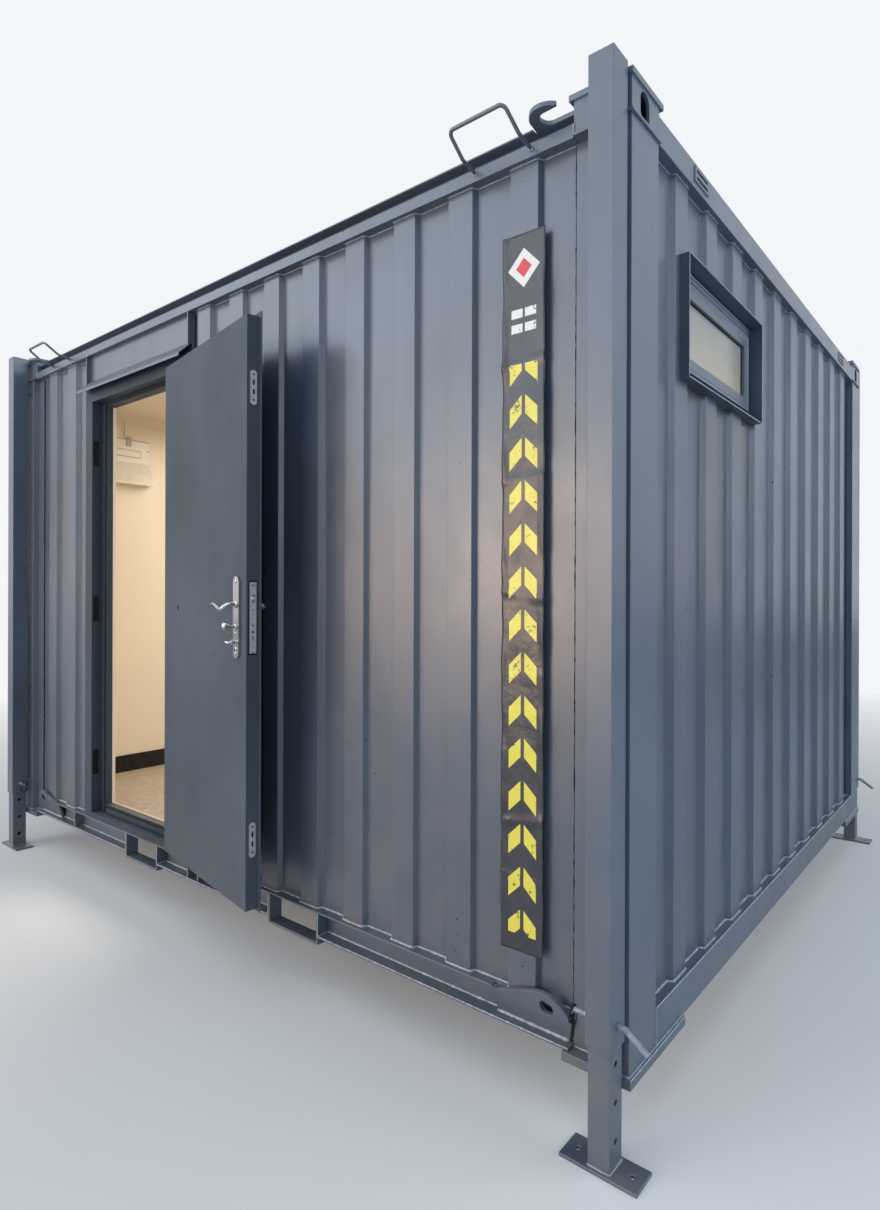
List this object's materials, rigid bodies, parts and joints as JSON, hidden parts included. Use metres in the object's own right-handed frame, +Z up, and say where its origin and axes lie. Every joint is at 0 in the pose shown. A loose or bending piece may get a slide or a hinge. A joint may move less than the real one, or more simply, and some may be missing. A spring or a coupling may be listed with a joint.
{
  "type": "portable site cabin",
  "caption": "Steel portable site cabin on telescopic jack legs, with ribbed sheet walls, an outward-opening door, a small high window, fork pockets and lifting hooks.",
  "frame": {"origin": "centre of the leg pattern, on the ground under the base plates", "axes": "+X along the long walls to the end with the window, -Y out of the wall with the doorway, +Z up"},
  "size_m": [3.9582, 3.0948, 2.685],
  "materials": {
    "frame_paint": "satin",
    "sheet_paint": "satin",
    "door_paint": "satin",
    "leg_paint": "satin",
    "zinc": "galvanised",
    "chrome": "polished",
    "steel": "brushed",
    "lining_cream": "satin",
    "floor_vinyl": "matte",
    "deck_board": "matte",
    "skirting_black": "matte",
    "window_plastic": "satin",
    "obscure_glass": "obscure",
    "white_enamel": "semi-gloss",
    "banner_vinyl": "satin"
  },
  "bodies": {
    "cabin": {"banner": "banner_vinyl", "ceiling_panel": "lining_cream", "corner_castings": "frame_paint", "corner_foot_plates": "frame_paint", "corner_posts": "frame_paint", "door_jambs": "door_paint", "door_lintel": "door_paint", "door_threshold": "door_paint", "drip_hood": "door_paint", "floor_beams": "frame_paint", "floor_covering": "floor_vinyl", "floor_deck": "deck_board", "fork_pockets": "frame_paint", "front_linings": "lining_cream", "front_sheets": "sheet_paint", "head_rails": "frame_paint", "hinge_halves_frame": "door_paint", "jamb_keeps": "steel", "lashing_lugs": "frame_paint", "leg_inner_tubes": "leg_paint", "leg_outer_tubes": "leg_paint", "lifting_hooks": "frame_paint", "lining_over_door": "lining_cream", "locking_pins": "zinc", "over_door_panel": "door_paint", "plain_end_lining": "lining_cream", "plain_end_sheet": "sheet_paint", "rear_lining": "lining_cream", "rear_sheet": "sheet_paint", "roof_rod_loops": "frame_paint", "roof_sheet": "sheet_paint", "sills": "frame_paint", "skirting": "skirting_black", "wall_heater": "white_enamel", "window_end_lining": "lining_cream", "window_end_sheet": "sheet_paint", "window_frame": "window_plastic", "window_pane": "obscure_glass", "window_sash": "window_plastic", "window_surround": "frame_paint"},
    "door": {"door_leaf": "door_paint", "hinge_halves_leaf": "door_paint", "door_lock": "chrome"},
    "lever": {"lever_handles": "chrome"}
  },
  "joints": [
    {"name": "door_hinge", "type": "hinge", "parent": "cabin", "child": "door", "pos_m": [-0.233, -1.3808, 1.32], "axis": [0, 0, 1], "range_deg": [-170.8, 3]},
    {"name": "lever_turn", "type": "hinge", "parent": "door", "child": "lever", "pos_m": [0.50232, -1.52553, 1.352], "axis": [-0.1599, -0.9871, 0], "range_deg": [0, 40], "stiffness_Nm_per_rad": 2, "springref_deg": -20.05}
  ]
}
